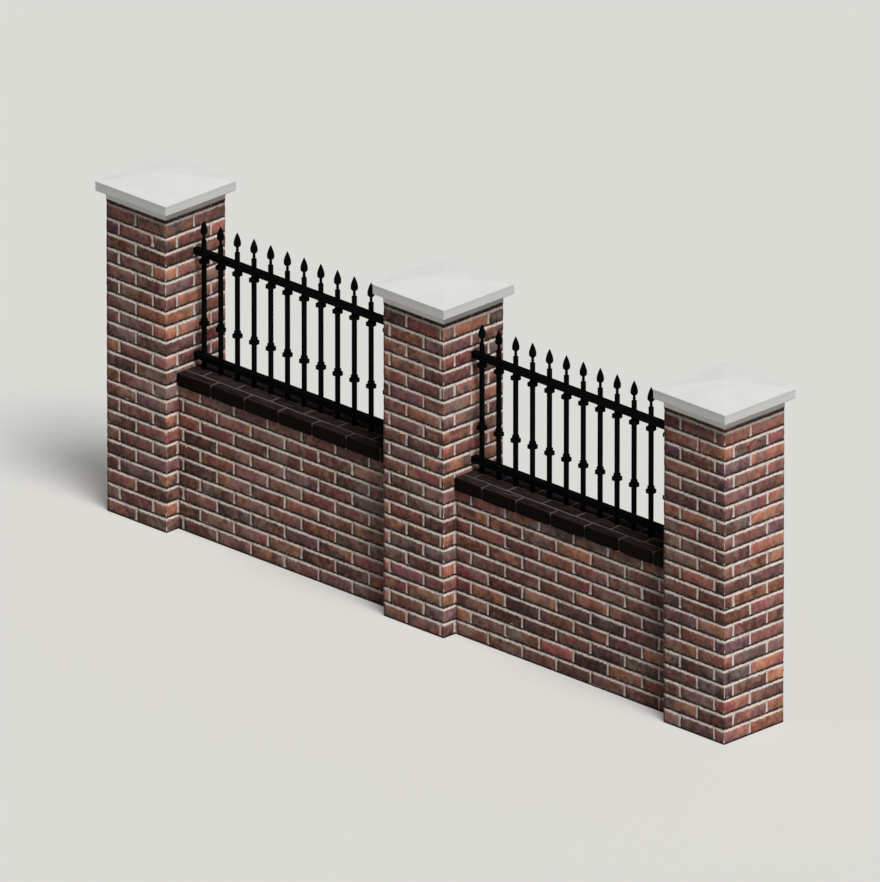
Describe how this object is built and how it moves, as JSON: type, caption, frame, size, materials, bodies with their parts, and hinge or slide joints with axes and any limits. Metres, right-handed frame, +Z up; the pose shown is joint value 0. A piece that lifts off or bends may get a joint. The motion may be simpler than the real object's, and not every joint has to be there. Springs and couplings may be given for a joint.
{
  "type": "brick garden wall with piers and iron railing",
  "caption": "Low brick garden wall between square capped brick piers, with a dark brick coping and black iron railings tipped with finials.",
  "frame": {"origin": "on the ground under the centre of the middle pier", "axes": "+Z up, +X along the wall towards the right pier, -Y towards the front"},
  "size_m": [4.16, 0.47, 1.73],
  "materials": {
    "pier_brick": "mixed red and brown fired brick with pale mortar",
    "wall_brick": "mixed red and brown fired brick with pale mortar",
    "coping_brick": "dark brown fired brick with grey-brown mortar",
    "cast_concrete": "smooth pale cast concrete",
    "railing_paint": "satin near-black paint"
  },
  "bodies": {
    "root": {"pier_left": "pier_brick", "pier_middle": "pier_brick", "pier_right": "pier_brick", "cap_pad_left": "cast_concrete", "cap_pad_middle": "cast_concrete", "cap_pad_right": "cast_concrete", "pier_cap_left": "cast_concrete", "pier_cap_middle": "cast_concrete", "pier_cap_right": "cast_concrete", "low_wall_left": "wall_brick", "low_wall_right": "wall_brick", "coping_left": "coping_brick", "coping_right": "coping_brick", "railing_left": "railing_paint", "railing_right": "railing_paint"}
  },
  "joints": []
}
